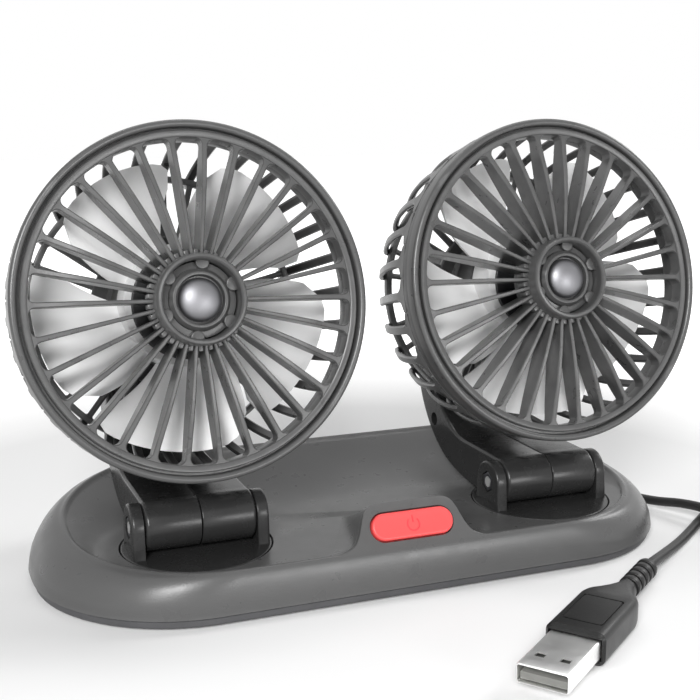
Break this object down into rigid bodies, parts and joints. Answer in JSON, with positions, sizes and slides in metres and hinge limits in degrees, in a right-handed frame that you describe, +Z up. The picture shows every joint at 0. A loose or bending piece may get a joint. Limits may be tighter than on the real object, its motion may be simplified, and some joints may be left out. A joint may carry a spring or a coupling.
{
  "type": "dual head car fan",
  "caption": "Fans in round slatted cages, side by side on gooseneck arms over turntables, on a long low base with a sloped button and a corded plug.",
  "frame": {"origin": "middle of the base's footprint, at the height of the feet's undersides", "axes": "+X along the long base, to the right as seen from the front; the fans face -Y; +Z up"},
  "size_m": [0.245, 0.1756, 0.1194],
  "materials": {
    "body_plastic": "satin moulded shell",
    "guard_plastic": "satin moulded grille",
    "dark_plastic": "satin, darker than the base",
    "cover_plastic": "plain matt underside",
    "black_plastic": "black, semi-matt",
    "blade_plastic": "pale grey, semi-matt",
    "gloss_grey": "polished dome",
    "button_red": "red, smooth",
    "rubber": "soft feet",
    "cord_plastic": "soft cord jacket",
    "plug_plastic": "moulded plug grip",
    "board_green": "circuit board",
    "steel": "bright steel",
    "dark_steel": "blackened steel"
  },
  "bodies": {
    "base": {"base_shell": "body_plastic", "bottom_cover": "cover_plastic", "button_switch": "cover_plastic", "circuit_board": "board_green", "cord_gland": "cord_plastic", "cord_lead": "cord_plastic", "cord_coil": "cord_plastic", "cord_tail": "cord_plastic", "plug_body": "plug_plastic", "plug_shell": "steel", "plug_tongue": "black_plastic", "rubber_foot_1": "rubber", "base_screw_1": "steel", "rubber_foot_2": "rubber", "base_screw_2": "steel", "rubber_foot_3": "rubber", "base_screw_3": "steel", "rubber_foot_4": "rubber", "base_screw_4": "steel"},
    "button": {"power_button": "button_red"},
    "left_turntable": {"left_turntable": "dark_plastic", "left_turntable_clip": "cover_plastic", "left_hinge_pin": "steel", "left_hinge_nut": "dark_steel"},
    "left_head": {"left_arm_left_half": "dark_plastic", "left_arm_right_half": "dark_plastic", "left_arm_screw": "dark_steel", "left_bracket_screw_1": "dark_steel", "left_bracket_screw_2": "dark_steel", "left_guard": "guard_plastic", "left_hub_cap": "gloss_grey", "left_basket": "guard_plastic", "left_motor": "black_plastic"},
    "left_rotor": {"left_rotor": "blade_plastic", "left_rotor_cap": "black_plastic", "left_shaft": "steel"},
    "right_turntable": {"right_turntable": "dark_plastic", "right_turntable_clip": "cover_plastic", "right_hinge_pin": "steel", "right_hinge_nut": "dark_steel"},
    "right_head": {"right_arm_left_half": "dark_plastic", "right_arm_right_half": "dark_plastic", "right_arm_screw": "dark_steel", "right_bracket_screw_1": "dark_steel", "right_bracket_screw_2": "dark_steel", "right_guard": "guard_plastic", "right_hub_cap": "gloss_grey", "right_basket": "guard_plastic", "right_motor": "black_plastic"},
    "right_rotor": {"right_rotor": "blade_plastic", "right_rotor_cap": "black_plastic", "right_shaft": "steel"}
  },
  "joints": [
    {"name": "button_press", "type": "slide", "parent": "base", "child": "button", "axis": [0, 0.866, -0.5], "range_m": [0, 0.0008], "stiffness_N_per_m": 1200, "springref_m": -0.0005},
    {"name": "left_swivel", "type": "hinge", "parent": "base", "child": "left_turntable", "pos_m": [-0.0506, -0.0167, 0.0126], "axis": [0, 0, 1], "range_deg": [-90, 90]},
    {"name": "left_tilt", "type": "hinge", "parent": "left_turntable", "child": "left_head", "pos_m": [-0.0506, -0.0173, 0.0194], "axis": [1, 0, 0], "range_deg": [0, 40]},
    {"name": "left_spin", "type": "hinge", "parent": "left_head", "child": "left_rotor", "pos_m": [-0.0506, -0.0227, 0.0764], "axis": [0, -0.9763, 0.2164], "continuous": true},
    {"name": "right_swivel", "type": "hinge", "parent": "base", "child": "right_turntable", "pos_m": [0.0506, -0.0167, 0.0126], "axis": [0, 0, 1], "range_deg": [-90, 90]},
    {"name": "right_tilt", "type": "hinge", "parent": "right_turntable", "child": "right_head", "pos_m": [0.0506, -0.0173, 0.0194], "axis": [1, 0, 0], "range_deg": [0, 40]},
    {"name": "right_spin", "type": "hinge", "parent": "right_head", "child": "right_rotor", "pos_m": [0.0506, -0.0227, 0.0764], "axis": [0, -0.9763, 0.2164], "continuous": true}
  ]
}
